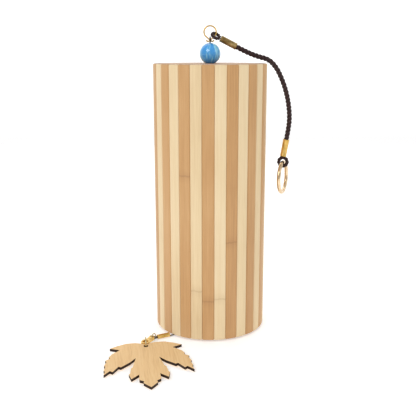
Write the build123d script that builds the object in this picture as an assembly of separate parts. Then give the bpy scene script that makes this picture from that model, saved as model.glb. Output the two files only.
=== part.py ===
from build123d import *
import math
import os

# A small hanging wind chime: a tube glued up from light and dark bamboo staves, with
# tuned rods standing inside it. A striker hangs on a string in the middle, and a maple
# leaf on the end of the same string catches the wind. Millimetres, Z up, standing on
# its rim on a flat floor, with the string run out under the rim.
os.makedirs("parts", exist_ok=True)

# Driving sizes.
tube_dia = 65.0
tube_height = 155.0
stave_wall = 5.0
stave_count = 30
stave_turn = 4.0
stave_chamfer = 0.6
string_dia = 0.8
string_clearance = 0.05
top_disc_thickness = 5.0
board_thickness = 6.0
board_recess = 8.0
board_hole_dia = 22.0
plate_dia = 44.0
plate_thickness = 3.0
plate_hole_dia = 16.0
rod_count = 8
rod_dia = 2.5
rod_circle_dia = 34.0
rod_longest = 105.0
rod_shortest = 45.0
screw_count = 4
screw_circle_dia = 39.0
screw_shank_dia = 2.0
screw_head_dia = 4.2
screw_head_height = 1.4
screw_length = 7.5
screw_clearance = 0.05
striker_dia = 21.0
striker_thickness = 6.0
striker_height = 45.0
knot_dia = 6.0
stop_knot_dia = 2.6
bead_dia = 12.0
bead_seat_dia = 4.8
bead_clearance = 0.02
strand_clearance = 0.08
hook_wire_dia = 0.8
hook_loop_dia = 6.9
hook_stem = 4.55
cord_dia = 3.0
ferrule_dia = 3.8
ferrule_length = 10.0
eye_cord_dia = 2.0
eye_dia = 4.6
eye_twist = 30.0
ring_eye_cord_dia = 2.2
ring_eye_dia = 5.0
hang_ring_dia = 17.8
hang_wire_dia = 2.0
hang_ring_turn = 20.6
link_clearance = 0.4
ring_eye_clearance = 0.1
sail_ferrule_dia = 2.6
sail_ferrule_length = 7.6
small_wire_dia = 0.6
small_ring_dia = 3.8
leaf_wire_dia = 0.7
leaf_ring_dia = 6.0
clasp_thickness = 2.2
clasp_length = 7.6
leaf_thickness = 1.6
leaf_hole_dia = 2.6
leaf_lift = 1.02
pin_dia = 0.4
pin_clearance = 0.05

# Heights that follow from them. The rim stands a string's thickness above the floor,
# because the string is led out under it.
rim = string_dia + string_clearance
top = rim + tube_height
inner = tube_dia / 2 - stave_wall
disc_under = top - top_disc_thickness
board_z = rim + board_recess
plate_z = board_z + board_thickness
plate_top = plate_z + plate_thickness
stave_angle = 360.0 / stave_count


def save(shape, name):
    export_step(shape, "parts/" + name + ".step")


def disc(radius, low, high, x=0.0, y=0.0):
    return Pos(x, y, (low + high) / 2) * Cylinder(radius, high - low)


def many_sided(low, high):
    # A disc cut to sit against the flat inner faces of the staves.
    sides = RegularPolygon(inner, stave_count, major_radius=False)
    turned = Rot(0, 0, stave_turn - 90) * sides
    return Pos(0, 0, low) * extrude(turned, high - low)


def torus_at(middle, normal, ring_dia, wire_dia):
    return Plane(middle, z_dir=normal) * Torus(ring_dia / 2, wire_dia / 2)


def tube_along(points, radii, dia):
    if radii is None:
        path = Polyline(*points)
    else:
        path = FilletPolyline(*points, radius=radii)
    section = Plane(path @ 0, z_dir=path % 0) * Circle(dia / 2)
    return sweep(section, path)


def bend_radii(points, dia, name):
    # Each bend takes nine tenths of what its shorter run allows.
    radii = []
    for k in range(1, len(points) - 1):
        before = Vector(*points[k]) - Vector(*points[k - 1])
        after = Vector(*points[k + 1]) - Vector(*points[k])
        turn = math.radians(before.get_angle(after))
        shorter = min(before.length, after.length)
        radii.append(0.45 * shorter / math.tan(turn / 2))
    print(name, "bend radii in diameters:", [round(r / dia, 1) for r in radii])
    return radii


# The tube: staves of laminated bamboo with flat glued sides, rounded outside and
# flat inside, their outer arrises lightly eased at both ends.
def stave():
    half = math.radians(stave_angle / 2)
    out = tube_dia / 2
    reach = inner / math.cos(half)
    near_left = (reach * math.sin(-half), -inner)
    near_right = (reach * math.sin(half), -inner)
    far_left = (out * math.sin(-half), -out * math.cos(half))
    far_right = (out * math.sin(half), -out * math.cos(half))
    edges = [
        Line(near_right, near_left),
        Line(near_left, far_left),
        ThreePointArc(far_left, (0, -out), far_right),
        Line(far_right, near_right),
    ]
    solid = extrude(make_face(edges), tube_height)
    curved = [e for e in solid.edges() if e.geom_type == GeomType.CIRCLE]
    return Pos(0, 0, rim) * chamfer(curved, stave_chamfer)


one_stave = stave()
for k in range(stave_count):
    middle_angle = stave_turn - stave_angle / 2 + k * stave_angle
    save(Rot(0, 0, middle_angle) * one_stave, "stave_%02d" % (k + 1))


# The top disc closes the tube flush. Its hole seats the bead above it, and the knot
# that holds everything is drawn up under it.
top_disc = many_sided(disc_under, top) - disc(bead_seat_dia / 2, disc_under - 1, top + 1)
save(top_disc, "top_disc")

# The base board is set up inside the tube and carries the plate of rods.
base_board = many_sided(board_z, plate_z) - disc(board_hole_dia / 2, board_z - 1, plate_z + 1)
tone_plate = disc(plate_dia / 2, plate_z, plate_top)
tone_plate -= disc(plate_hole_dia / 2, plate_z - 1, plate_top + 1)
screws = []
screw_bottom = plate_top - screw_length
for k in range(screw_count):
    angle = math.radians(22.5 + 360 * k / screw_count)
    x = screw_circle_dia / 2 * math.cos(angle)
    y = screw_circle_dia / 2 * math.sin(angle)
    bore = disc(screw_shank_dia / 2 + screw_clearance, screw_bottom, plate_top + 1, x, y)
    base_board -= bore
    tone_plate -= bore
    shank = disc(screw_shank_dia / 2, screw_bottom, plate_top, x, y)
    head = disc(screw_head_dia / 2, plate_top, plate_top + screw_head_height, x, y)
    screws.append(shank + head)
save(base_board, "base_board")
save(tone_plate, "tone_plate")
save(Compound(screws), "plate_screws")

# Eight rods brazed upright on the plate, each a step shorter than the last.
for k in range(rod_count):
    angle = math.radians(360 * k / rod_count)
    x = rod_circle_dia / 2 * math.cos(angle)
    y = rod_circle_dia / 2 * math.sin(angle)
    step = (rod_shortest / rod_longest) ** (k / (rod_count - 1))
    rod = disc(rod_dia / 2, plate_top, plate_top + rod_longest * step, x, y)
    save(rod, "tone_rod_%d" % (k + 1))

# The glass bead sits in the mouth of the disc's hole, bored for two strands of string.
strand_off = string_dia / 2 + 0.02
bore_dia = 2 * (strand_off + string_dia / 2 + strand_clearance)
bead_radius = bead_dia / 2
bead_z = top + math.sqrt(bead_radius**2 - (bead_seat_dia / 2) ** 2) + bead_clearance
bead = Pos(0, 0, bead_z) * (Sphere(bead_radius) - Cylinder(bore_dia / 2, bead_dia + 2))
save(bead, "bead")
bead_top = bead_z + bead_radius

# The brass wire is bent into one round loop whose ends cross and curl outward. The two
# legs lie one behind the other where they cross.
cross_z = bead_top + 1.25
loop_z = cross_z + hook_stem
loop_radius = hook_loop_dia / 2
wire_off = hook_wire_dia / 2 + 0.03


def hook_side(side):
    return [
        (-side * 2.15, side * wire_off, cross_z + 0.15),
        (-side * 1.75, side * wire_off, cross_z - 0.5),
        (-side * 1.05, side * wire_off, cross_z - 0.6),
        (0, side * wire_off, cross_z),
        (side * 1.25, side * wire_off, cross_z + 1.25),
    ]


hook_points = hook_side(1)
for k in range(-40, 221, 20):
    angle = math.radians(k)
    share = math.cos(math.radians((k + 40) * 180 / 260))
    x = loop_radius * math.cos(angle)
    hook_points.append((x, wire_off * share, loop_z + loop_radius * math.sin(angle)))
hook_points += hook_side(-1)[::-1]
hook_path = Spline(*hook_points)
hook_section = Plane(hook_path @ 0, z_dir=hook_path % 0) * Circle(hook_wire_dia / 2)
save(sweep(hook_section, hook_path), "wire_hanger")

# The hanging string is doubled: its bight lies over the crossing of the wire, and both
# strands go down through the bead and the disc into one round knot.
knot_radius = knot_dia / 2
knot_z = disc_under - math.sqrt(knot_radius**2 - (bead_seat_dia / 2) ** 2) - bead_clearance
bight_off = hook_wire_dia + string_dia / 2 + 0.15
bight_top = cross_z + hook_wire_dia + string_dia / 2 + 0.35
bight = [
    (0, -strand_off, knot_z + 2.0),
    (0, -strand_off, bead_top + 0.15),
    (0, -bight_off, cross_z - 0.1),
    (0, -0.75 * bight_off, bight_top - 0.1),
    (0, 0.75 * bight_off, bight_top - 0.1),
    (0, bight_off, cross_z - 0.1),
    (0, strand_off, bead_top + 0.15),
    (0, strand_off, knot_z + 2.0),
]
hanger_string = tube_along(bight, [0.5, 0.5, 0.5, 0.5, 0.5, 0.5], string_dia)
hanger_string += Pos(0, 0, knot_z) * Sphere(knot_radius)
hanger_string -= disc(knot_dia, knot_z - knot_dia, knot_z - knot_radius + 0.2)
save(hanger_string, "hanger_string")
pivot_z = knot_z - knot_radius + 0.2

# The striker is a turned wooden disc threaded on the string between two stop knots.
striker = disc(striker_dia / 2, striker_height, striker_height + striker_thickness)
striker = fillet(striker.edges(), 1.2)
striker -= disc(string_dia / 2 + string_clearance, striker_height - 1, striker_height + 20)
save(striker, "striker")
stop_radius = stop_knot_dia / 2
upper_stop_z = striker_height + striker_thickness + stop_radius + string_clearance
lower_stop_z = striker_height - stop_radius - string_clearance
striker_string = disc(string_dia / 2, lower_stop_z, pivot_z)
striker_string += Pos(0, 0, upper_stop_z) * Sphere(stop_radius)
striker_string += Pos(0, 0, lower_stop_z) * Sphere(stop_radius)
striker_string -= disc(stop_knot_dia, lower_stop_z - 5, lower_stop_z - stop_radius + 0.1)
save(striker_string, "striker_string")
string_top = lower_stop_z - stop_radius + 0.1

# The lanyard hangs over the tube's right shoulder. Its top eye is round the wire loop.
lanyard_slope = math.radians(-27.0)
along = Vector(math.cos(lanyard_slope), 0, math.sin(lanyard_slope))
touch_angle = math.radians(-34.0)
touch = Vector(loop_radius * math.cos(touch_angle), 0, loop_z + loop_radius * math.sin(touch_angle))
eye_reach = eye_dia / 2 - eye_cord_dia / 2 - hook_wire_dia / 2 - link_clearance
eye_middle = touch + along * eye_reach
flat_normal = Vector(-math.sin(lanyard_slope), 0, math.cos(lanyard_slope))
eye_normal = flat_normal.rotate(Axis((0, 0, 0), (along.X, along.Y, along.Z)), eye_twist)
upper_eye = torus_at(eye_middle, eye_normal, eye_dia, eye_cord_dia)
ferrule_start = eye_middle + along * (eye_dia / 2 + eye_cord_dia / 2 - 0.35)
ferrule_end = ferrule_start + along * ferrule_length


def solid_rod(start, end, dia):
    length = (end - start).length
    return Plane(start, z_dir=end - start) * Pos(0, 0, length / 2) * Cylinder(dia / 2, length)


upper_ferrule = solid_rod(ferrule_start, ferrule_end, ferrule_dia)

# The braided cord falls past the shoulder of the tube and hangs down beside it.
cord_points = [
    (ferrule_end.X, 0, ferrule_end.Z),
    (ferrule_end.X + 5.2, 0, ferrule_end.Z + 5.2 * math.tan(lanyard_slope)),
    (tube_dia / 2 - 5.5, 0, top + 6.2),
    (tube_dia / 2 + 1.8, 0, top + 5.6),
    (tube_dia / 2 + 7.4, 0, top + 0.9),
    (tube_dia / 2 + 10.0, 0, top - 6.6),
    (tube_dia / 2 + 12.1, 0, top - 14.6),
    (tube_dia / 2 + 13.5, 0, top - 22.8),
    (tube_dia / 2 + 13.8, 0, top - 30.4),
    (tube_dia / 2 + 13.0, 0, top - 37.4),
    (tube_dia / 2 + 12.0, 0, top - 43.4),
]
cord_radii = bend_radii(cord_points, cord_dia, "lanyard cord")
lanyard_cord = tube_along(cord_points, cord_radii, cord_dia)
save(lanyard_cord, "lanyard_cord")

# The lower ferrule and eye carry the round hanging ring.
lower_start = Vector(*cord_points[-1])
lower_way = (lower_start - Vector(*cord_points[-2])).normalized()
lower_end = lower_start + lower_way * ferrule_length
lower_ferrule = solid_rod(lower_start, lower_end, ferrule_dia)
ring_along = Vector(math.sin(math.radians(hang_ring_turn)), math.cos(math.radians(hang_ring_turn)), 0)
ring_eye_middle = lower_end - Vector(0, 0, ring_eye_dia / 2 + ring_eye_cord_dia / 2 - 0.35)
lower_eye = torus_at(ring_eye_middle, ring_along, ring_eye_dia, ring_eye_cord_dia)
ring_top = ring_eye_middle - Vector(0, 0, (ring_eye_dia - ring_eye_cord_dia - hang_wire_dia) / 2 - ring_eye_clearance)
ring_middle = ring_top - Vector(0, 0, hang_ring_dia / 2)
ring_normal = Vector(ring_along.Y, -ring_along.X, 0)
save(torus_at(ring_middle, ring_normal, hang_ring_dia, hang_wire_dia), "hang_ring")
upper_eye -= upper_ferrule
lower_eye -= lower_ferrule
save(Compound([upper_eye.solid(), lower_eye.solid()]), "lanyard_eyes")
save(Compound([upper_ferrule, lower_ferrule]), "lanyard_ferrules")

# The leaf lies out on the floor in front of the tube, a little to the left. The rest of
# the chain is set out from its hole, back toward the tube.
leaf_turn = -8.5
leaf_out = 24.2
hole_at = Vector(-0.6312, -0.7757, 0).normalized() * (tube_dia / 2 + leaf_out)
leaf_back = Vector(-math.sin(math.radians(-leaf_turn)), math.cos(math.radians(-leaf_turn)), 0)
leaf_ring_z = leaf_ring_dia / 2 + leaf_wire_dia / 2
leaf_ring_middle = hole_at + leaf_back * 2.37 + Vector(0, 0, leaf_ring_z)
side_normal = Vector(leaf_back.Y, -leaf_back.X, 0)
save(torus_at(leaf_ring_middle, side_normal, leaf_ring_dia, leaf_wire_dia), "leaf_ring")

# The right half of the leaf's outline, from the tip to the dip at the stem, with the
# hole at the origin.
half_leaf = [
    (0, -45.8),
    (3.6, -41.3),
    (3.3, -39.4),
    (5.5, -37.9),
    (5.4, -32.3),
    (9.5, -36.6),
    (10.6, -31.5),
    (9.9, -30.4),
    (9.3, -25.0),
    (8.4, -23.9),
    (6.3, -13.9),
    (9.6, -18.4),
    (14.4, -23.1),
    (15.6, -22.3),
    (18.8, -27.7),
    (20.2, -26.4),
    (23.4, -30.6),
    (22.7, -26.7),
    (23.4, -25.6),
    (22.5, -21.6),
    (23.2, -20.3),
    (21.9, -16.2),
    (22.6, -14.7),
    (20.0, -12.4),
    (20.6, -10.9),
    (19.2, -7.9),
    (14.6, -3.2),
    (20.0, -0.6),
    (15.9, 2.1),
    (10.7, 4.5),
    (5.6, 4.6),
    (2.0, 3.3),
    (0, 2.2),
]
other_half = [(-x, y) for x, y in half_leaf[-2:0:-1]]
leaf = extrude(make_face(Polyline(*half_leaf, *other_half, close=True)), leaf_thickness)
leaf -= Cylinder(leaf_hole_dia / 2, 4 * leaf_thickness)
leaf_tilt = math.degrees(math.atan2(leaf_lift, -half_leaf[0][1]))
leaf = Pos(0, -half_leaf[0][1], 0) * leaf
leaf = Rot(leaf_tilt, 0, 0) * leaf
tip_at = hole_at - leaf_back * -half_leaf[0][1]
leaf = Pos(tip_at.X, tip_at.Y, 0.02) * Rot(0, 0, -leaf_turn) * leaf
save(leaf, "leaf")

# The lobster clasp: a flat cast body, its hook end closed by a small sprung lever.
clasp_low = 1.0
hook_out = 2.5
hook_in = 1.7
tail_out = 1.45
tail_in = 0.85
hook_middle = hole_at + leaf_back * (2.37 + 2.7)
clasp_way = Vector(0.40, 0.916, 0).normalized()
tail_middle = hook_middle + clasp_way * clasp_length
clasp_turn = math.degrees(math.atan2(clasp_way.Y, clasp_way.X))
half_t = clasp_thickness / 2
neck = Pos(clasp_length / 2 + 0.5, 0, half_t) * Box(clasp_length - 3.0, 2.2, clasp_thickness)
blank = disc(hook_out, 0, clasp_thickness) + disc(tail_out, 0, clasp_thickness, clasp_length) + neck
body = blank - disc(hook_in, -1, clasp_thickness + 1)
body -= disc(tail_in, -1, clasp_thickness + 1, clasp_length)
body -= Pos(0.9, 2.05, half_t) * Box(3.5, 1.9, clasp_thickness + 1)

# The lever turns on a pin that stands on a thin cheek of the body.
pin_x = 1.55
pin_y = 1.5
cheek_thickness = 0.12
lever_low = cheek_thickness + 0.04
body += disc(0.42, 0, cheek_thickness, pin_x, pin_y)
body += Pos(pin_x, 1.15, cheek_thickness / 2) * Box(0.8, 0.7, cheek_thickness)
body += disc(pin_dia / 2, 0, clasp_thickness, pin_x, pin_y)
lever_ring = disc(hook_out, lever_low, clasp_thickness - 0.15) - disc(hook_in, -1, clasp_thickness + 1)
lever = lever_ring & (Pos(1.05, 2.12, half_t) * Box(3.0, 1.54, clasp_thickness))
lever += Pos(1.75, 2.35, half_t) * Box(0.9, 0.9, clasp_thickness - 0.4)
lever -= disc(pin_dia / 2 + pin_clearance, -1, clasp_thickness + 1, pin_x, pin_y)
clasp_at = Pos(hook_middle.X, hook_middle.Y, clasp_low) * Rot(0, 0, clasp_turn)
save(clasp_at * body, "clasp_body")
save(clasp_at * lever, "clasp_lever")

# A jump ring joins the clasp to the cord's own small eye behind the ferrule.
link_way = Vector(0.539, 0.842, 0).normalized()
small_ring_z = small_ring_dia / 2 + small_wire_dia / 2
small_ring_middle = tail_middle + link_way * 1.64 + Vector(0, 0, small_ring_z)
small_normal = Vector(link_way.Y, -link_way.X, 0)
save(torus_at(small_ring_middle, small_normal, small_ring_dia, small_wire_dia), "clasp_ring")
sail_eye_dia = 2.2
sail_z = sail_ferrule_dia / 2
sail_eye_middle = tail_middle + link_way * 3.29
ferrule_way = Vector(0.883, 0.469, 0).normalized()
sail_ferrule_start = sail_eye_middle + ferrule_way * 1.35 + Vector(0, 0, sail_z)
sail_ferrule_end = sail_ferrule_start + ferrule_way * sail_ferrule_length
sail_ferrule = solid_rod(sail_ferrule_start, sail_ferrule_end, sail_ferrule_dia)
sail_eye = torus_at(sail_eye_middle + Vector(0, 0, sail_z), Vector(0, 0, 1), sail_eye_dia, string_dia)
save(sail_eye - sail_ferrule, "sail_eye")
save(sail_ferrule, "sail_ferrule")

# The string drops from under the striker through the plate, lies slack on the floor
# inside the tube and runs out under the rim to the ferrule.
floor_z = string_dia / 2
sail_points = [
    (0, 0, string_top),
    (0.8, 0.5, 27.5),
    (0.3, 1.8, 14.0),
    (4.5, 6.6, 4.0),
    (11.5, 4.5, floor_z),
    (13.0, -5.0, floor_z),
    (5.0, -13.5, floor_z),
    (-6.0, -14.5, floor_z),
    (-16.0, -19.5, floor_z),
    (sail_ferrule_end.X, sail_ferrule_end.Y, floor_z),
]
sail_radii = bend_radii(sail_points, string_dia, "sail string")
sail_string = tube_along(sail_points, sail_radii, string_dia)
save(sail_string, "sail_string")

for name, points, solid, dia in (
    ("lanyard cord", cord_points, lanyard_cord, cord_dia),
    ("sail string", sail_points, sail_string, string_dia),
):
    length = sum(math.dist(points[k], points[k + 1]) for k in range(len(points) - 1))
    swept = solid.volume / (math.pi * dia**2 / 4)
    print(name, "runs", round(length, 1), "mm, by volume", round(swept, 1), "mm")
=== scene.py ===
import math
import random

import bpy
from mathutils import Matrix, Vector


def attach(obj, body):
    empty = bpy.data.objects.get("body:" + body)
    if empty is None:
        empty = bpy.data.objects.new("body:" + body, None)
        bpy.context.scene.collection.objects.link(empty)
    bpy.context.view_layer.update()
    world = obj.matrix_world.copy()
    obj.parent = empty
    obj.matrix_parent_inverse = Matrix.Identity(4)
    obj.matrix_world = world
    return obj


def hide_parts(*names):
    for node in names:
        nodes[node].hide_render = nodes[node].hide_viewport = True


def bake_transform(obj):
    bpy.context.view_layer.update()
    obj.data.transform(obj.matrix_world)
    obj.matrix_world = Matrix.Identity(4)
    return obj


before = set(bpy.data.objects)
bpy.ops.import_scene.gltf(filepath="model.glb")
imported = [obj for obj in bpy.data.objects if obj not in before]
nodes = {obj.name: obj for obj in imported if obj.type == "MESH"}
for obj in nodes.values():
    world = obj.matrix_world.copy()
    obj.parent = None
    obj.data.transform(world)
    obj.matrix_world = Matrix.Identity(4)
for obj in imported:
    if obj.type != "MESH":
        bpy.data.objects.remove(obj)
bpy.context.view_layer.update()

# The wind chime stands on a table, seen a little from above. Everything is in metres and
# in the same frame as the CAD, so a millimetre gets a short name.
mm = 0.001

eye_level = 163.0 * mm
stand_off = 393.5 * mm
off_centre = -1.2 * mm
tilt_down = math.radians(13.11)
camera_data = bpy.data.cameras.new("camera")
camera_data.lens = 58.5
camera_data.sensor_width = 36.0
camera_data.clip_start = 0.01
camera = bpy.data.objects.new("camera", camera_data)
camera.location = (off_centre, -stand_off, eye_level)
camera.rotation_euler = (math.radians(90) - tilt_down, 0, 0)
bpy.context.collection.objects.link(camera)
bpy.context.scene.camera = camera


# What more than one section uses: selecting, new pieces, welding, and turned circles.
def clear_selection():
    bpy.ops.object.select_all(action="DESELECT")


def new_piece(name, data):
    # A new object made from a curve or a mesh, alone in the selection.
    clear_selection()
    piece = bpy.data.objects.new(name, data)
    bpy.context.collection.objects.link(piece)
    bpy.context.view_layer.objects.active = piece
    piece.select_set(True)
    return piece


def weld(reach=1e-6):
    # Points that meet become one, and all faces are turned outward.
    bpy.ops.object.mode_set(mode="EDIT")
    bpy.ops.mesh.select_all(action="SELECT")
    bpy.ops.mesh.remove_doubles(threshold=reach)
    bpy.ops.mesh.normals_make_consistent(inside=False)
    bpy.ops.object.mode_set(mode="OBJECT")


def facing(toward):
    # The turn that takes +Z to this direction.
    return Vector(toward).to_track_quat("Z", "Y").to_matrix()


def circle(middle, turn, across, steps, gap=0.0, gap_at=0.0):
    # Points round a turned circle that is given in millimetres, from one side of its gap
    # to the other. Without a gap, the last point meets the first.
    line = []
    for k in range(steps + 1):
        angle = gap_at + gap / 2 + (2 * math.pi - gap) * k / steps
        spot = turn @ Vector((math.cos(angle), math.sin(angle), 0))
        line.append((Vector(middle) + spot * across / 2) * mm)
    return line


# Cords. The lanyard is a soft round cord laid up from three yarn strands. It is a little
# stiff with wax, so it stands off the tube's shoulder before it falls. The sail string is
# thin waxed twine of the same make, slack on the floor inside the tube.
def smooth_line(points):
    # The line of a limp cord that is led along these points.
    curve = bpy.data.curves.new("route", "CURVE")
    curve.dimensions = "3D"
    spline = curve.splines.new("NURBS")
    spline.points.add(len(points) - 1)
    for spot, place in zip(spline.points, points):
        spot.co = (*place, 1)
    spline.order_u = 3
    spline.use_endpoint_u = True
    spline.resolution_u = 24
    guide = bpy.data.objects.new("route", curve)
    mesh = bpy.data.meshes.new_from_object(guide)
    line = [v.co.copy() for v in mesh.vertices]
    bpy.data.objects.remove(guide)
    bpy.data.curves.remove(curve)
    bpy.data.meshes.remove(mesh)
    return line


def evenly(line, step):
    # The same line with its points a step apart.
    lengths = [(b - a).length for a, b in zip(line, line[1:])]
    total = sum(lengths)
    count = max(2, round(total / step))
    spaced = []
    k = 0
    passed = 0.0
    for n in range(count + 1):
        wanted = total * n / count
        while k < len(lengths) - 1 and passed + lengths[k] < wanted:
            passed += lengths[k]
            k += 1
        share = min(1.0, (wanted - passed) / max(lengths[k], 1e-9))
        spaced.append(line[k].lerp(line[k + 1], share))
    return spaced


def wound_round(line, reach, lay, start, closed):
    # A strand's own line, wound round the cord's line once in each lay.
    # It starts from a direction that no cord here runs along.
    travelled = 0.0
    side = Vector((0.13, 0.97, 0.2))
    around = []
    last = len(line) - 1
    for k, place in enumerate(line):
        before = line[k - 1] if k else (line[last - 1] if closed else line[0])
        after = line[k + 1] if k < last else (line[1] if closed else line[last])
        ahead = (after - before).normalized()
        side = (side - ahead * side.dot(ahead)).normalized()
        other = ahead.cross(side)
        angle = start + 2 * math.pi * travelled / lay
        around.append(place + (side * math.cos(angle) + other * math.sin(angle)) * reach)
        if k < last:
            travelled += (line[k + 1] - place).length
    return around


def tube_mesh(name, lines, thick, closed=False, sides=8):
    # Round tubes along the lines, made into one mesh with their ends closed.
    curve = bpy.data.curves.new(name, "CURVE")
    curve.dimensions = "3D"
    curve.bevel_depth = thick / 2
    curve.bevel_resolution = (sides - 4) // 2
    curve.use_fill_caps = True
    for line in lines:
        spline = curve.splines.new("POLY")
        kept = line[:-1] if closed else line
        spline.points.add(len(kept) - 1)
        for spot, place in zip(spline.points, kept):
            spot.co = (*place, 1)
        spline.use_cyclic_u = closed
    new_piece(name, curve)
    bpy.ops.object.convert(target="MESH")
    piece = bpy.context.view_layer.objects.active
    piece.name = name
    piece.data.name = name
    weld()
    bpy.ops.object.shade_smooth()
    return piece


strand_count = 3
strand_share = 0.38


def laid_cord(name, line, thick, lay, step, closed=False, sides=8):
    # Three strands laid up round a core of the same yarn, each this share of the cord thick.
    strand = thick * strand_share
    reach = (thick - strand) / 2
    line = evenly(line, step)
    length = sum((b - a).length for a, b in zip(line, line[1:]))
    if closed:
        lay = length / max(1, round(length / lay))
    starts = [2 * math.pi * k / strand_count for k in range(strand_count)]
    lines = [wound_round(line, reach, lay, start, closed) for start in starts]
    return tube_mesh(name, [*lines, line], strand, closed, sides), line


class Sum:
    # A value in a material. Sums of such values are written as ordinary sums.
    def __init__(self, tree, socket):
        self.tree = tree
        self.socket = socket

    def joined(self, operation, first, second=None):
        node = self.tree.nodes.new("ShaderNodeMath")
        node.operation = operation
        for place, given in zip(node.inputs, (first, second)):
            if isinstance(given, Sum):
                self.tree.links.new(given.socket, place)
            elif given is not None:
                place.default_value = given
        return Sum(self.tree, node.outputs[0])

    def __add__(self, other):
        return self.joined("ADD", self, other)

    def __radd__(self, other):
        return self.joined("ADD", other, self)

    def __sub__(self, other):
        return self.joined("SUBTRACT", self, other)

    def __rsub__(self, other):
        return self.joined("SUBTRACT", other, self)

    def __mul__(self, other):
        return self.joined("MULTIPLY", self, other)

    def __truediv__(self, other):
        return self.joined("DIVIDE", self, other)

    def __pow__(self, other):
        return self.joined("POWER", self, other)


class Finish:
    # A material: fixed amounts go on the shader, and patterns are added node by node.
    def __init__(self, name, **fixed):
        self.material = bpy.data.materials.new(name)
        self.material.use_nodes = True
        self.tree = self.material.node_tree
        self.shader = self.tree.nodes["Principled BSDF"]
        for key, amount in fixed.items():
            self.shader.inputs[key.replace("_", " ")].default_value = amount

    def add(self, kind, settings, given, out=0):
        node = self.tree.nodes.new("ShaderNode" + kind)
        for key, amount in settings.items():
            if key == "stops":
                self.set_stops(node.color_ramp, amount)
            else:
                setattr(node, key, amount)
        for key, amount in given.items():
            if isinstance(amount, Sum):
                self.tree.links.new(amount.socket, node.inputs[key])
            else:
                node.inputs[key].default_value = amount
        return Sum(self.tree, node.outputs[out])

    def set_stops(self, ramp, stops):
        while len(ramp.elements) < len(stops):
            ramp.elements.new(0.5)
        for element, (place, colour) in zip(ramp.elements, stops):
            element.position = place
            element.color = (*colour, 1)

    def places(self):
        return self.add("TexCoord", {}, {}, "Object")

    def parts(self, vector):
        node = self.add("SeparateXYZ", {}, {"Vector": vector})
        outs = node.socket.node.outputs
        return [Sum(self.tree, outs[k]) for k in range(3)]

    def vector(self, x, y, z):
        return self.add("CombineXYZ", {}, {0: x, 1: y, 2: z})

    def noise(self, vector, scale, detail=3.0, rough=0.5):
        given = {"Vector": vector, "Scale": scale, "Detail": detail, "Roughness": rough}
        return self.add("TexNoise", {}, given)

    def mix(self, share, first, second, blend="MIX"):
        settings = {"data_type": "RGBA", "blend_type": blend}
        return self.add("Mix", settings, {0: share, 6: first, 7: second}, 2)

    def clear_step(self, value, low, high):
        given = {"Value": value, "From Min": low, "From Max": high}
        return self.add("MapRange", {"interpolation_type": "SMOOTHSTEP"}, given)

    def bump(self, height, strength, deep):
        given = {"Height": height, "Strength": strength, "Distance": deep}
        self.feed("Normal", self.add("Bump", {}, given))

    def feed(self, name, value):
        self.tree.links.new(value.socket, self.shader.inputs[name])

    def put_on(self, *pieces):
        for piece in pieces:
            piece.data.materials.clear()
            piece.data.materials.append(self.material)


def yarn(name, deep, worn_and_highlight, twist):
    # Waxed yarn: fine threads wind along each strand, with a few paler fibres. The paler colour is partly
    # real wear and partly painted highlight.
    cloth = Finish(name, Specular_IOR_Level=0.35, Sheen_Weight=0.15)
    spots = cloth.places()
    fibres = cloth.noise(spots, 5200.0, 4.0, 0.65)
    blotch = cloth.noise(spots, 420.0, 2.0)
    threads = {"Vector": spots, "Scale": twist, "Distortion": 1.5}
    waves = cloth.add("TexWave", {"bands_direction": "DIAGONAL"}, threads)
    tone = fibres * 0.55 + blotch * 0.25 + waves * 0.2
    # The pale end of this ramp is partly worn fibres and partly painted highlight, spread at random over
    # the strands.
    ramp = cloth.add("ValToRGB", {"stops": [(0.3, deep), (0.75, worn_and_highlight)]}, {"Fac": tone})
    cloth.feed("Base Color", ramp)
    cloth.feed("Roughness", 0.5 + fibres * 0.3)
    cloth.bump(fibres * 0.4 + waves * 0.6, 0.5, 0.15 * mm)
    return cloth


brown_yarn = yarn("brown waxed yarn", (0.005, 0.0018, 0.002), (0.075, 0.027, 0.026), 900.0)

lanyard_points = [
    (14.84, 0, 165.13),
    (20.04, 0, 162.48),
    (27.0, 0, 159.7),
    (33.4, 0, 158.2),
    (37.7, 0, 153.8),
    (40.9, 0, 147.7),
    (43.6, 0, 140.5),
    (45.4, 0, 132.6),
    (46.1, 0, 125.2),
    (45.6, 0, 118.4),
    (44.5, 0, 112.45),
]
cord_thick = 3.0 * mm
cord_lay = 6.6 * mm
cord_step = 0.25 * mm
lanyard_line = smooth_line([Vector(p) * mm for p in lanyard_points])
lanyard_cord, lanyard_path = laid_cord(
    "lanyard_laid", lanyard_line, cord_thick, cord_lay, cord_step, sides=10
)
brown_yarn.put_on(lanyard_cord)
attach(lanyard_cord, "lanyard")
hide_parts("lanyard_cord")

sail_points = [
    (0, 0, 42.45),
    (0.8, 0.5, 27.5),
    (0.3, 1.8, 14.0),
    (4.5, 6.6, 4.0),
    (11.5, 4.5, 0.4),
    (13.0, -5.0, 0.4),
    (5.0, -13.5, 0.4),
    (-6.0, -14.5, 0.4),
    (-16.0, -19.5, 0.4),
    (-23.83, -25.05, 0.4),
]
string_thick = 0.8 * mm
string_lay = 2.4 * mm
sail_line = smooth_line([Vector(p) * mm for p in sail_points])
sail_string, sail_path = laid_cord(
    "sail_string_laid", sail_line, string_thick, string_lay, cord_step, sides=6
)
brown_yarn.put_on(sail_string)
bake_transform(sail_string)
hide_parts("sail_string")

# The eyes. Each is a short turn of thinner cord whose ends go into a ferrule. The lanyard
# has one round the wire loop on top and one round the hanging ring, and the sail string has
# a small one, which the clasp's jump ring goes through.
eye_lay = 2.1


def cord_eye(name, middle, normal, across, thick, body, node):
    # Sizes in millimetres. The lay is a little over twice the cord's thickness.
    ring = circle(middle, facing(normal), across, 64)
    eye, _ = laid_cord(name, ring, thick * mm, thick * eye_lay * mm, 0.16 * mm, closed=True)
    brown_yarn.put_on(eye)
    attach(eye, body)
    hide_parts(node)
    return eye


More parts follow.
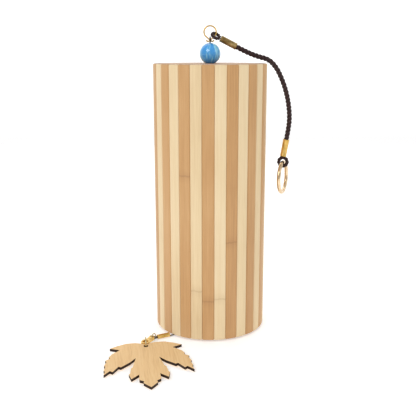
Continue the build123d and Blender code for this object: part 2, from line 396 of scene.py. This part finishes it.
upper_eye = cord_eye(
    "upper_eye", (3.306, 0, 171.013), (0.393, -0.5, 0.772), across=4.6, thick=2.0,
    body="lanyard", node="lanyard_eyes",
)
lower_eye = cord_eye(
    "lower_eye", (42.856, 0, 99.336), (0.352, 0.936, 0), across=5.0, thick=2.2,
    body="lanyard", node="lanyard_eyes",
)
sail_eye = cord_eye(
    "sail_eye_cord", (-31.734, -29.25, 1.3), (0, 0, 1), across=2.2, thick=0.8,
    body="sail_line", node="sail_eye",
)

# The hanging string is the same twine doubled. Its bight lies over the crossing of the
# wire, and both strands run down through the bead and the disc into a round knot.
bight_points = [
    (0, -0.42, 151.0),
    (0, -0.42, 160.0),
    (0, -0.42, 166.6),
    (0, -0.44, 167.5),
    (0, -1.35, 168.4),
    (0, -1.45, 169.9),
    (0, 0, 170.6),
    (0, 1.45, 169.9),
    (0, 1.35, 168.4),
    (0, 0.44, 167.5),
    (0, 0.42, 166.6),
    (0, 0.42, 160.0),
    (0, 0.42, 151.0),
]
bight_line = smooth_line([Vector(p) * mm for p in bight_points])
bight, _ = laid_cord("hanging_bight", bight_line, string_thick, string_lay, 0.2 * mm, sides=6)


def ball_knot(name, low, across, thick):
    # A knot drawn up round: three turns of the twine, each over the others, on a core.
    core_height = low + across / 2
    lean = Matrix.Rotation(math.radians(52), 3, "X")
    lines = []
    for k in range(3):
        turn = Matrix.Rotation(math.radians(60 * k), 3, "Z") @ lean
        lines.append(circle((0, 0, core_height), turn, across - thick, 32))
    knot = tube_mesh(name, lines, thick * mm, closed=True)
    core_size = (across / 2 - thick * 0.55) * mm
    bpy.ops.mesh.primitive_ico_sphere_add(
        subdivisions=3, radius=core_size, location=(0, 0, core_height * mm)
    )
    core = bpy.context.object
    bpy.ops.object.shade_smooth()
    return join_pieces(name, knot, core)


def join_pieces(name, *pieces):
    # Several meshes become one, whose object is at the origin.
    clear_selection()
    for piece in pieces:
        piece.select_set(True)
    bpy.context.view_layer.objects.active = pieces[0]
    bpy.ops.object.join()
    bpy.ops.object.transform_apply(location=True, rotation=True, scale=True)
    pieces[0].name = name
    pieces[0].data.name = name
    return pieces[0]


hanging_string = join_pieces("hanging_string", bight, ball_knot("knot", 146.23, 5.6, 1.7))
brown_yarn.put_on(hanging_string)
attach(hanging_string, "hanger")
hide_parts("hanger_string")

drop_line = [Vector((0, 0, high)) * mm for high in (146.2, 43.0)]
drop, _ = laid_cord("drop", evenly(drop_line, cord_step), string_thick, string_lay, cord_step, sides=6)
stops = [ball_knot("stop", low, 2.6, 0.9) for low in (42.4, 51.05)]
striker_line = join_pieces("striker_line", drop, *stops)
brown_yarn.put_on(striker_line)
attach(striker_line, "striker")
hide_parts("striker_string")

# The tube. Thirty bamboo staves, natural and steamed brown in turn, are glued edge to edge
# and turned true, so the outside is one smooth round and only the colours change. The
# arrises at both ends are eased with sandpaper.
rim = 0.85 * mm
tube_top = 155.85 * mm
tube_radius = 32.5 * mm
wall = 5.0 * mm
stave_count = 30
stave_angle = 2 * math.pi / stave_count
first_joint = math.radians(4.0)


def one_stave():
    # Drawn as a flat board end on one side, then swept round by one stave's width.
    clear_selection()
    middle = Vector((0, -(tube_radius - wall / 2), (rim + tube_top) / 2))
    bpy.ops.mesh.primitive_plane_add(size=1, location=middle, rotation=(0, math.radians(90), 0))
    board = bpy.context.object
    board.scale = (tube_top - rim, wall, 1)
    bpy.ops.object.transform_apply(location=True, rotation=True, scale=True)
    board.data.transform(Matrix.Rotation(stave_angle / 2, 4, "Z"))
    bpy.ops.object.mode_set(mode="EDIT")
    bpy.ops.mesh.select_all(action="SELECT")
    bpy.ops.mesh.spin(steps=6, angle=stave_angle, center=(0, 0, 0), axis=(0, 0, 1))
    weld()
    return board


def close_stave(board):
    # The swept board has no ends to its sweep yet, so both joint faces are filled.
    bpy.ops.object.mode_set(mode="EDIT")
    bpy.ops.mesh.select_all(action="DESELECT")
    bpy.ops.mesh.select_non_manifold()
    bpy.ops.mesh.edge_face_add()
    bpy.ops.mesh.select_all(action="SELECT")
    bpy.ops.mesh.normals_make_consistent(inside=False)
    bpy.ops.object.mode_set(mode="OBJECT")


def ease_ends(board, amount):
    # Rounds over the outer arris at both ends.
    mesh = board.data
    for item in (*mesh.vertices, *mesh.polygons):
        item.select = False
    bpy.ops.object.mode_set(mode="EDIT")
    bpy.ops.mesh.select_mode(type="EDGE")
    bpy.ops.object.mode_set(mode="OBJECT")
    for edge in mesh.edges:
        ends = [mesh.vertices[k].co for k in edge.vertices]
        level = abs(ends[0].z - ends[1].z) < 0.01 * mm
        outside = min(end.xy.length for end in ends) > tube_radius - 0.1 * mm
        edge.select = level and outside
    bpy.ops.object.mode_set(mode="EDIT")
    bpy.ops.mesh.bevel(offset=amount, segments=3, affect="EDGES")
    bpy.ops.mesh.select_mode(type="VERT")
    bpy.ops.object.mode_set(mode="OBJECT")
    bpy.ops.object.shade_smooth_by_angle(angle=math.radians(35))


def bamboo(name, deep, middle, light, knuckle_dark):
    # Laminated bamboo: straight fine fibres, slow changes of tone along the stave, the
    # faint line of one knuckle, and cut bundle ends at the top and bottom.
    cane = Finish(name, Specular_IOR_Level=0.4, Coat_Roughness=0.3)
    x, y, z = cane.parts(cane.places())
    angle = x.joined("ARCTAN2", x, 0 - y)
    across = angle * tube_radius
    radius = (x * x + y * y) ** 0.5
    grain = cane.vector(across, z * 0.022, radius)
    fibres = cane.noise(grain, 2600.0, 4.0, 0.6)
    bundles = cane.noise(cane.vector(across, z * 0.01, radius * 0.4), 900.0, 2.0)
    slow = cane.noise(cane.vector(across * 0.6, z * 0.18, radius), 130.0, 2.0)
    number = x.joined("FLOOR", (angle - first_joint) / stave_angle)
    lot = cane.add("TexWhiteNoise", {"noise_dimensions": "1D"}, {"W": number + 7.3})
    tone = fibres * 0.45 + bundles * 0.25 + slow * 0.35 + lot * 0.18 - 0.12
    colour = cane.add("ValToRGB", {"stops": [(0.18, deep), (0.5, middle), (0.8, light)]}, {"Fac": tone})
    knuckle = cane.add("Attribute", {"attribute_name": "knuckle"}, {}, "Fac")
    wander = cane.noise(cane.vector(across, 0.0, 0.0), 260.0, 2.0) * 2.0 * mm
    off = x.joined("ABSOLUTE", z - knuckle - wander + 1.0 * mm)
    line = 1 - cane.clear_step(off, 0.1 * mm, 0.8 * mm)
    halo = 1 - cane.clear_step(off, 0.5 * mm, 5.0 * mm)
    colour = cane.mix(line * 0.22 + halo * 0.12, colour, (*knuckle_dark, 1))
    up = cane.parts(cane.add("TexCoord", {}, {}, "Normal"))[2]
    cut = cane.clear_step(x.joined("ABSOLUTE", up), 0.8, 0.95)
    bundle_ends = {"Vector": cane.vector(x, y, 0.0), "Scale": 1900.0}
    pores = 1 - cane.clear_step(cane.add("TexVoronoi", {}, bundle_ends, "Distance"), 0.12, 0.42)
    end_face = cane.mix(pores * 0.6, (0.60, 0.39, 0.25, 1), (0.33, 0.17, 0.09, 1))
    cane.feed("Base Color", cane.mix(cut, colour, end_face))
    cane.feed("Roughness", 0.42 + fibres * 0.16 + cut * 0.2)
    cane.bump(fibres * 0.6 + line * 0.5, 0.25, 0.08 * mm)
    return cane


pale_bamboo = bamboo(
    "natural bamboo", deep=(0.66, 0.46, 0.24), middle=(0.80, 0.62, 0.37),
    light=(0.88, 0.72, 0.48), knuckle_dark=(0.46, 0.28, 0.13),
)
dark_bamboo = bamboo(
    "steamed bamboo", deep=(0.42, 0.205, 0.078), middle=(0.58, 0.325, 0.135),
    light=(0.68, 0.42, 0.20), knuckle_dark=(0.25, 0.11, 0.045),
)

# Knuckle heights in millimetres. Five staves have theirs at a set height, eight are cut from
# a clear length and have theirs put far below the rim, and chance places the others.
seen_knuckles = {1: 24.4, 2: 25.6, 3: 58.5, 29: 96.0, 30: 30.2}
clear_lengths = {4, 5, 6, 7, 25, 26, 27, 28}
lowest_knuckle = 15
highest_knuckle = 145
no_knuckle = -50
chance = random.Random(12)
pattern = one_stave()
close_stave(pattern)
ease_ends(pattern, 0.6 * mm)
for k in range(stave_count):
    number = k + 1
    mesh = pattern.data.copy()
    stave = bpy.data.objects.new("bamboo_stave_%02d" % number, mesh)
    mesh.name = stave.name
    bpy.context.collection.objects.link(stave)
    mesh.transform(Matrix.Rotation(first_joint - stave_angle / 2 + k * stave_angle, 4, "Z"))
    height = seen_knuckles.get(number, chance.uniform(lowest_knuckle, highest_knuckle)) * mm
    if number in clear_lengths:
        height = no_knuckle * mm
    mark = mesh.attributes.new("knuckle", "FLOAT", "POINT")
    mark.data.foreach_set("value", [height] * len(mesh.vertices))
    (dark_bamboo if number % 2 else pale_bamboo).put_on(stave)
    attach(stave, "tube")
    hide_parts("stave_%02d" % number)
bpy.data.objects.remove(pattern)

# The top disc and the base board are discs of laminated bamboo board, glued in. The board
# is made of narrow strips, all running the same way.
strip_width = 6.5 * mm
board = Finish("laminated bamboo board", Specular_IOR_Level=0.35)
x, y, z = board.parts(board.places())
strip = x.joined("FLOOR", y / strip_width)
strip_tone = board.add("TexWhiteNoise", {"noise_dimensions": "1D"}, {"W": strip + 3.1})
edge = x.joined("ABSOLUTE", x.joined("FRACT", y / strip_width) - 0.5)
glue = board.clear_step(edge, 0.475, 0.498)
fibres = board.noise(board.vector(x * 0.03, y, z), 2300.0, 4.0, 0.6)
slow = board.noise(board.vector(x * 0.2, y, z), 160.0, 2.0)
tone = fibres * 0.5 + slow * 0.3 + strip_tone * 0.3 - 0.05
board_stops = [(0.2, (0.40, 0.22, 0.12)), (0.8, (0.66, 0.43, 0.27))]
colour = board.add("ValToRGB", {"stops": board_stops}, {"Fac": tone})
board.feed("Base Color", board.mix(glue * 0.45, colour, (0.24, 0.11, 0.05, 1)))
board.feed("Roughness", 0.45 + fibres * 0.2)
board.bump(fibres - glue * 0.6, 0.25, 0.08 * mm)
board.put_on(nodes["top_disc"], nodes["base_board"])

# The tone plate is a brass disc with eight steel rods brazed on, and screws hold it down.
# Each rod is cut a step shorter than the last, with its end ground to a small round.
def worn_metal(name, deep, light, gloss, scratch, **fixed):
    # Polished metal with a soft cloudy tone, fine scratches and duller patches.
    metal = Finish(name, Metallic=1.0, **fixed)
    spots = metal.places()
    cloud = metal.noise(spots, 260.0, 3.0)
    drawn_out = metal.add("Mapping", {}, {"Vector": spots, "Scale": (6.0, 6.0, 0.5)})
    lines = metal.noise(drawn_out, 900.0, 4.0, 0.7)
    metal.feed("Base Color", metal.mix(metal.clear_step(cloud, 0.3, 0.7), (*deep, 1), (*light, 1)))
    metal.feed("Roughness", gloss + lines * scratch + cloud * 0.08)
    metal.bump(lines, 0.15, 0.03 * mm)
    return metal


rod_steel = worn_metal("rod steel", (0.52, 0.51, 0.48), (0.72, 0.71, 0.68), 0.12, 0.18)
plate_brass = worn_metal("brushed brass", (0.55, 0.38, 0.16), (0.74, 0.55, 0.27), 0.25, 0.25)
gold_brass = worn_metal("bright brass", (0.56, 0.34, 0.08), (0.86, 0.58, 0.19), 0.18, 0.14)
old_brass = worn_metal("scratched antique brass", (0.22, 0.145, 0.05), (0.60, 0.44, 0.20), 0.2, 0.30)
pale_gold = worn_metal("pale gold plate", (0.66, 0.48, 0.28), (0.86, 0.68, 0.46), 0.10, 0.10)
silver_gold = worn_metal("thin gold wire", (0.58, 0.47, 0.24), (0.84, 0.75, 0.50), 0.12, 0.12)
plate_brass.put_on(nodes["tone_plate"])
rod_steel.put_on(nodes["plate_screws"])


def turned_piece(name, profile, steps, place=(0, 0, 0), toward=(0, 0, 1)):
    # A solid turned on the lathe from a profile of (radius, height) in millimetres.
    mesh = bpy.data.meshes.new(name)
    corners = [(r * mm, 0, h * mm) for r, h in profile]
    mesh.from_pydata(corners, [(k, k + 1) for k in range(len(profile) - 1)], [])
    piece = new_piece(name, mesh)
    bpy.ops.object.mode_set(mode="EDIT")
    bpy.ops.mesh.select_all(action="SELECT")
    bpy.ops.mesh.spin(steps=steps, angle=2 * math.pi, center=(0, 0, 0), axis=(0, 0, 1))
    weld()
    mesh.transform(Matrix.Translation(Vector(place) * mm) @ facing(toward).to_4x4())
    bpy.ops.object.shade_smooth_by_angle(angle=math.radians(40))
    return piece


plate_top = 17.85
rod_count = 8
rod_circle = 17
rod_radius = 1.25
longest_rod = 105.0
shortest_rod = 45.0
for k in range(rod_count):
    angle = 2 * math.pi * k / rod_count
    tall = longest_rod * (shortest_rod / longest_rod) ** (k / (rod_count - 1))
    ground_end = [(rod_radius, tall - 0.4), (1.1, tall - 0.12), (0.8, tall), (0, tall)]
    profile = [(0, 0), (rod_radius, 0), *ground_end]
    spot = (rod_circle * math.cos(angle), rod_circle * math.sin(angle), plate_top)
    rod = turned_piece("ground_rod_%d" % (k + 1), profile, 24, spot)
    rod_steel.put_on(rod)
    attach(rod, "tube")
    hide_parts("tone_rod_%d" % (k + 1))

# The striker is a small turned hardwood disc with rounded edges and a shallow groove
# round its rim, bored for the string.
wood = Finish("dark striker wood", Specular_IOR_Level=0.4)
x, y, z = wood.parts(wood.places())
year_rings = {"Vector": wood.vector(x * 0.2, y, z), "Scale": 260.0, "Distortion": 4.0, "Detail": 3.0}
rings = wood.add("TexWave", {"wave_type": "BANDS"}, year_rings)
pores = wood.noise(wood.vector(x * 0.06, y, z), 2400.0, 3.0)
colour = wood.mix(rings, (0.16, 0.065, 0.025, 1), (0.29, 0.14, 0.06, 1))
wood.feed("Base Color", wood.mix(pores * 0.5, colour, (0.08, 0.03, 0.012, 1)))
wood.feed("Roughness", 0.4 + pores * 0.25)
wood.bump(pores, 0.2, 0.08 * mm)
striker_profile = [
    (0.45, 45.15), (0.6, 45.0), (9.3, 45.0), (10.15, 45.35), (10.5, 46.2), (10.5, 47.3), (10.2, 48.0),
    (10.5, 48.7), (10.5, 49.8), (10.15, 50.65), (9.3, 51.0), (0.6, 51.0), (0.45, 50.85), (0.45, 45.15),
]
striker = turned_piece("turned_striker", striker_profile, 64)
wood.put_on(striker)
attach(striker, "striker")
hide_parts("striker")

# The bead is drawn cat's-eye glass: fibres in it run from pole to pole, and the bright bands
# they throw along the curve are painted into its colour as sheen. Its lower part is painted darker, as
# shade.
bead_middle = 161.37
bead_radius = 6.0
bead_bore = 0.9
glass = Finish("sky blue cat's-eye glass", Roughness=0.06, Coat_Weight=1.0, Coat_Roughness=0.03, IOR=1.52)
x, y, z = glass.parts(glass.places())
height = (z - bead_middle * mm) / (bead_radius * mm)
angle = x.joined("ARCTAN2", x, 0 - y)
drift = glass.noise(glass.places(), 150.0, 2.0) * 0.5
bands = glass.noise(glass.vector(angle * 0.9 + drift * 0.6, height * 0.16, 0.3), 2.6, 3.0, 0.6)
streaks = glass.noise(glass.vector(angle * 5.0, height * 0.22, 1.7), 2.2, 3.0)
# Painted sheen: the bright bands of light off the fibres, put into the base colour.
painted_sheen = glass.clear_step(bands, 0.46, 0.62) * 0.85 + streaks * 0.1
# Painted shade: the bead is made darker towards its bottom, away from the light above.
painted_shade_low = glass.clear_step(0 - height, 0.35, 1.0)
colour = glass.mix(painted_sheen, (0.025, 0.34, 0.86, 1), (0.28, 0.74, 0.98, 1))
glass.feed("Base Color", glass.mix(painted_shade_low * 0.7, colour, (0.008, 0.12, 0.46, 1)))
glass.bump(streaks, 0.05, 0.02 * mm)
bore_edge = math.acos(bead_bore / bead_radius)
bead_profile = [(bead_bore, bead_radius * math.sin(bore_edge))]
for k in range(1, 40):
    angle = bore_edge - 2 * bore_edge * k / 40
    bead_profile.append((bead_radius * math.cos(angle), bead_radius * math.sin(angle)))
bead_profile += [(bead_bore, -bead_profile[0][1]), bead_profile[0]]
bead = turned_piece("glass_bead", bead_profile, 64, (0, 0, bead_middle))
glass.put_on(bead)
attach(bead, "bead")
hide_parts("bead")

# The hanger is one piece of brass wire, bent round a former into a loop. Its two ends
# cross above the bead and are curled outward, so the string can't slip off.
wire_radius = 3.45
loop_middle = 173.17
crossing = 168.62
wire_side = 0.43
wire_thick = 0.8 * mm
curled_end = [
    (-2.15, wire_side, crossing + 0.15), (-1.75, wire_side, crossing - 0.5),
    (-1.05, wire_side, crossing - 0.6), (0, wire_side, crossing),
    (1.25, wire_side, crossing + 1.25),
]
wire_points = list(curled_end)
for k in range(-40, 221, 10):
    angle = math.radians(k)
    share = math.cos(math.radians((k + 40) * 180 / 260))
    high = loop_middle + wire_radius * math.sin(angle)
    wire_points.append((wire_radius * math.cos(angle), wire_side * share, high))
wire_points += [(-px, -py, pz) for px, py, pz in reversed(curled_end)]
wire_line = evenly(smooth_line([Vector(p) * mm for p in wire_points]), 0.12 * mm)
wire = tube_mesh("bent_wire", [wire_line], wire_thick, sides=12)
gold_brass.put_on(wire)
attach(wire, "hanger")
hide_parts("wire_hanger")

# The ferrules are short drawn brass tubes with rolled ends. The cord's end is glued into
# one end and the eye's two ends into the other. The upper one is older and scratched.
def ferrule(name, start, toward, long, wide, finish, body, node):
    # Sizes in millimetres. Both ends are alike: a bore, a rolled lip and a shallow groove.
    r = wide / 2
    bore = r * 0.80
    lip = [(0, 0.5), (bore, 0.5), (bore, 0.06), (r * 0.92, 0), (r, 0.14), (r, 0.5), (r * 0.955, 0.72)]
    profile = lip + [(out, long - up) for out, up in reversed(lip)]
    piece = turned_piece(name, profile, 40, start, toward)
    finish.put_on(piece)
    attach(piece, body)
    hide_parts(node)
    return piece


upper_ferrule = ferrule(
    "upper_ferrule", (5.934, 0, 169.674), (0.891, 0, -0.454), long=10.0, wide=3.8,
    finish=old_brass, body="lanyard", node="lanyard_ferrules",
)
lower_ferrule = ferrule(
    "lower_ferrule", (44.5, 0, 112.45), (-0.164, 0, -0.986), long=10.0, wide=3.8,
    finish=gold_brass, body="lanyard", node="lanyard_ferrules",
)
sail_ferrule = ferrule(
    "string_ferrule", (-30.542, -28.617, 1.3), (0.883, 0.469, 0), long=7.6, wide=2.6,
    finish=gold_brass, body="sail_line", node="sail_ferrule",
)

# Rings of round wire. The hanging ring is thick and plated pale gold, with the butt of its
# joint just showing. The two small ones are thin jump rings, closed by hand.
def wire_ring(name, middle, normal, across, thick, gap, gap_at, finish, body, node):
    # Sizes in millimetres, and the gap in radians.
    line = circle(middle, facing(normal), across, 96, gap, gap_at)
    ring = tube_mesh(name, [line], thick * mm, sides=16)
    finish.put_on(ring)
    bpy.ops.object.shade_smooth_by_angle(angle=math.radians(50))
    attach(ring, body)
    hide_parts(node)
    return ring


hang_ring = wire_ring(
    "hanging_ring", (42.856, 0, 90.136), (0.936, -0.352, 0), across=17.8, thick=2.2,
    gap=0.02, gap_at=0.6, finish=pale_gold, body="hang_ring", node="hang_ring",
)
jump_ring = wire_ring(
    "clasp_jump_ring", (-32.611, -30.62, 2.2), (0.842, -0.539, 0), across=3.8, thick=0.6,
    gap=0.06, gap_at=1.9, finish=silver_gold, body="clasp", node="clasp_ring",
)
leaf_ring = wire_ring(
    "leaf_jump_ring", (-36.137, -41.635, 3.35), (0.989, 0.148, 0), across=6.0, thick=0.7,
    gap=0.05, gap_at=1.4, finish=silver_gold, body="leaf", node="leaf_ring",
)

# The clasp is a small cast lobster clasp. Its body and sprung lever keep the CAD's shape,
# with a bright brass plating.
gold_brass.put_on(nodes["clasp_body"], nodes["clasp_lever"])

# The leaf is cut by laser from thin basswood ply, so its edges and their small rounding are
# scorched nearly black. It is left unvarnished. It is drawn round its hole, in millimetres.
leaf_thick = 1.6 * mm
leaf_edge = 0.06 * mm
leaf_hole = 1.3
tip_reach = 45.8
half_leaf = [
    (0, -tip_reach), (3.6, -41.3), (3.3, -39.4), (5.5, -37.9), (5.4, -32.3), (9.5, -36.6),
    (10.6, -31.5), (9.9, -30.4), (9.3, -25.0), (8.4, -23.9), (6.3, -13.9), (9.6, -18.4),
    (14.4, -23.1), (15.6, -22.3), (18.8, -27.7), (20.2, -26.4), (23.4, -30.6), (22.7, -26.7),
    (23.4, -25.6), (22.5, -21.6), (23.2, -20.3), (21.9, -16.2), (22.6, -14.7), (20.0, -12.4),
    (20.6, -10.9), (19.2, -7.9), (14.6, -3.2), (20.0, -0.6), (15.9, 2.1), (10.7, 4.5),
    (5.6, 4.6), (2.0, 3.3), (0, 2.2),
]
outline = half_leaf + [(-px, py) for px, py in half_leaf[-2:0:-1]]
curve = bpy.data.curves.new("leaf", "CURVE")
curve.dimensions = "2D"
curve.fill_mode = "BOTH"
curve.extrude = leaf_thick / 2 - leaf_edge
curve.bevel_depth = leaf_edge
curve.offset = -leaf_edge
hole_angles = [a * math.pi / 12 for a in range(24)]
hole = [(leaf_hole * math.cos(a), leaf_hole * math.sin(a)) for a in hole_angles]
for ring in (outline, hole):
    spline = curve.splines.new("POLY")
    spline.points.add(len(ring) - 1)
    for spot, (px, py) in zip(spline.points, ring):
        spot.co = (px * mm, py * mm, 0, 1)
    spline.use_cyclic_u = True
new_piece("maple_leaf", curve)
bpy.ops.object.convert(target="MESH")
leaf = bpy.context.object
leaf.data.name = leaf.name
weld(2e-6)
# The tip lies on the floor, and the ring holds the hole end a little higher.
leaf_turn = 8.5
leaf_tilt = 1.2758
tip_place = Vector((-29.017, -89.276, 0.02)) * mm
tip_back = Matrix.Translation((0, tip_reach * mm, leaf_thick / 2))
tilted = Matrix.Rotation(math.radians(leaf_tilt), 4, "X")
turned = Matrix.Rotation(math.radians(leaf_turn), 4, "Z")
leaf.data.transform(Matrix.Translation(tip_place) @ turned @ tilted @ tip_back)
bpy.ops.object.shade_smooth_by_angle(angle=math.radians(30))

ply = Finish("basswood ply with scorched edges", Specular_IOR_Level=0.3)
spots = ply.places()
tip_moved = {"Vector": spots, "Location": (29.02 * mm, 89.28 * mm, 0)}
moved = ply.add("Mapping", {"vector_type": "POINT"}, tip_moved)
turned_back = {"Vector": moved, "Rotation": (0, 0, math.radians(-leaf_turn))}
straight = ply.add("Mapping", {"vector_type": "POINT"}, turned_back)
x, y, z = ply.parts(straight)
wander = ply.noise(straight, 55.0, 2.0)
grain = ply.noise(ply.vector(x + wander * 2.0 * mm, y * 0.035, z), 1500.0, 4.0, 0.62)
wide_grain = ply.noise(ply.vector(x + wander * 4.0 * mm, y * 0.02, 0.0), 420.0, 2.0)
tone = grain * 0.7 + wide_grain * 0.3
ply_stops = [(0.22, (0.70, 0.43, 0.20)), (0.5, (0.88, 0.60, 0.30)), (0.78, (0.94, 0.69, 0.39))]
face = ply.add("ValToRGB", {"stops": ply_stops}, {"Fac": tone})
up = ply.parts(ply.add("TexCoord", {}, {}, "Normal"))[2]
side = 1 - ply.clear_step(x.joined("ABSOLUTE", up), 0.35, 0.95)
char = ply.mix(ply.noise(spots, 1500.0, 3.0), (0.010, 0.004, 0.003, 1), (0.05, 0.022, 0.012, 1))
ply.feed("Base Color", ply.mix(side, face, char))
ply.feed("Roughness", 0.55 + grain * 0.2)
ply.bump(grain, 0.2, 0.06 * mm)
ply.put_on(leaf)
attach(leaf, "leaf")
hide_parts("leaf")

# The table top is a wide flat sheet of matt white paper, and a second sheet stands upright
# behind it. Both give off a little light of their own, so that they stay white. A large
# soft light stands in front on the left, with weaker ones on the right and behind.
clear_selection()
bpy.ops.mesh.primitive_plane_add(size=1.0, location=(0, 0, -0.0002))
floor = bpy.context.object
floor.name = "white_table"
floor.scale = (6.0, 1.6, 1.0)
bpy.ops.object.transform_apply(location=False, rotation=False, scale=True)
paper = Finish("matt white paper", Roughness=0.9, Specular_IOR_Level=0.1, Emission_Strength=0.35)
tooth = paper.noise(paper.places(), 300.0, 2.0)
paper.feed("Base Color", paper.mix(tooth, (0.88, 0.88, 0.88, 1), (0.92, 0.92, 0.92, 1)))
paper.feed("Emission Color", paper.mix(tooth, (0.98, 0.98, 0.98, 1), (1.0, 1.0, 1.0, 1)))
paper.put_on(floor)
bpy.ops.mesh.primitive_plane_add(size=6.0, location=(0, 0.9, 1.0), rotation=(math.radians(90), 0, 0))
wall_sheet = bpy.context.object
wall_sheet.name = "white_sweep"
paper.put_on(wall_sheet)


def soft_light(name, place, size, power):
    # A round white lamp that faces the middle of the tube.
    data = bpy.data.lights.new(name, "AREA")
    data.shape = "DISK"
    data.size = size
    data.energy = power
    lamp = bpy.data.objects.new(name, data)
    lamp.location = place
    lamp.rotation_euler = (Vector((0, 0, 0.08)) - Vector(place)).to_track_quat("-Z", "Y").to_euler()
    bpy.context.collection.objects.link(lamp)


soft_light("front_light", (-0.45, -0.8, 0.75), 0.6, 3.2)
soft_light("right_light", (0.9, -0.4, 0.6), 0.5, 0.6)
soft_light("back_light", (0.1, 0.6, 0.9), 0.6, 1.0)
sky = bpy.data.worlds.new("white room")
bpy.context.scene.world = sky
sky.use_nodes = True
sky.node_tree.nodes["Background"].inputs["Color"].default_value = (1, 1, 1, 1)
sky.node_tree.nodes["Background"].inputs["Strength"].default_value = 0.62
bpy.context.scene.view_settings.view_transform = "Standard"
